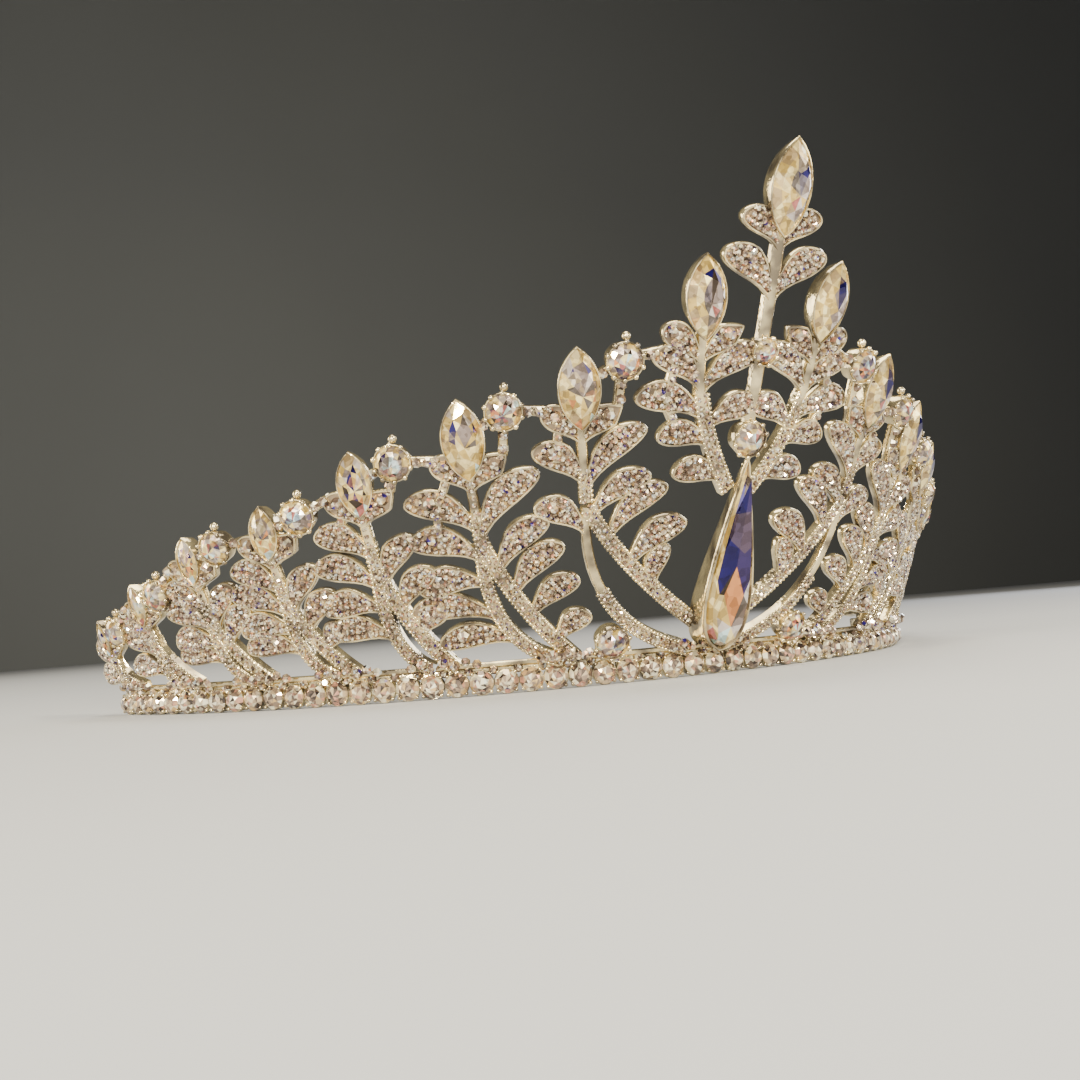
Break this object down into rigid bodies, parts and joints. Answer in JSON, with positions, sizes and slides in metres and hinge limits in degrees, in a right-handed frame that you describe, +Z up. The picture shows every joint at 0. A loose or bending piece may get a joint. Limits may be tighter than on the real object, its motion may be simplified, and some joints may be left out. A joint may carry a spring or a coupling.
{
  "type": "crown",
  "caption": "Open pageant crown of pierced metal plumes and leaves set with marquise, round and pear-cut clear stones on a low curved band of round stones.",
  "frame": {"origin": "centre of the bounding box's base, on the floor under the middle of the open arc", "axes": "+X to the wearer's left along the width, -Y to the front, +Z up"},
  "size_m": [0.186, 0.1128, 0.0785],
  "materials": {
    "cast_metal": "polished",
    "crystal": "polished"
  },
  "bodies": {
    "root": {"frame": "cast_metal", "peak_stone": "crystal", "pear_stone": "crystal", "crest_stone": "crystal", "bud_stone": "crystal", "marquise_l1": "crystal", "marquise_l2": "crystal", "marquise_l3": "crystal", "marquise_l4": "crystal", "marquise_l5": "crystal", "marquise_l6": "crystal", "marquise_l7": "crystal", "marquise_l8": "crystal", "round_l1": "crystal", "round_l2": "crystal", "round_l3": "crystal", "round_l4": "crystal", "round_l5": "crystal", "round_l6": "crystal", "round_l7": "crystal", "band_round_l": "crystal", "band_stones_l": "crystal", "marquise_r1": "crystal", "marquise_r2": "crystal", "marquise_r3": "crystal", "marquise_r4": "crystal", "marquise_r5": "crystal", "marquise_r6": "crystal", "marquise_r7": "crystal", "marquise_r8": "crystal", "round_r1": "crystal", "round_r2": "crystal", "round_r3": "crystal", "round_r4": "crystal", "round_r5": "crystal", "round_r6": "crystal", "round_r7": "crystal", "band_round_r": "crystal", "band_stones_r": "crystal"}
  },
  "joints": []
}
